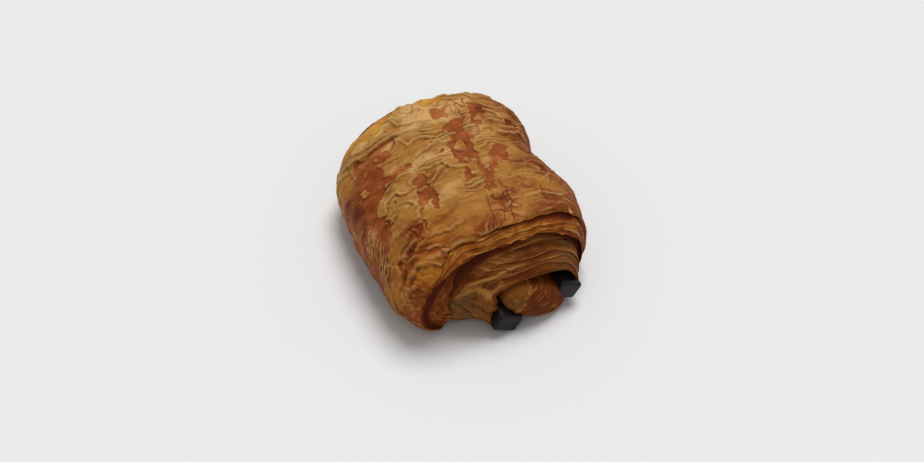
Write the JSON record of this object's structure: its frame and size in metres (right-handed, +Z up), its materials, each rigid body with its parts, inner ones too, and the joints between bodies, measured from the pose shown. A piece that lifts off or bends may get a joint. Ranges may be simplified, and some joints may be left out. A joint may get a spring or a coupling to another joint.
{
  "type": "pain au chocolat",
  "caption": "Baked roll of laminated dough around dark chocolate sticks, flaky crust, layered ends, waist on one side, resting on a flat base.",
  "frame": {"origin": "middle of the flat base, on the surface that the pastry rests on", "axes": "+Z up, +Y along the roll and its chocolate sticks, away from the end with the loose flap at the left, +X across the roll towards the side with the waist"},
  "size_m": [0.0896, 0.108, 0.0463],
  "materials": {
    "baked_dough": "matte browned flaky crust, golden to red-brown",
    "dark_chocolate": "smooth dark chocolate with a faint sheen"
  },
  "bodies": {
    "root": {"pastry": "baked_dough", "chocolate_stick_low": "dark_chocolate", "chocolate_stick_high": "dark_chocolate"}
  },
  "joints": []
}
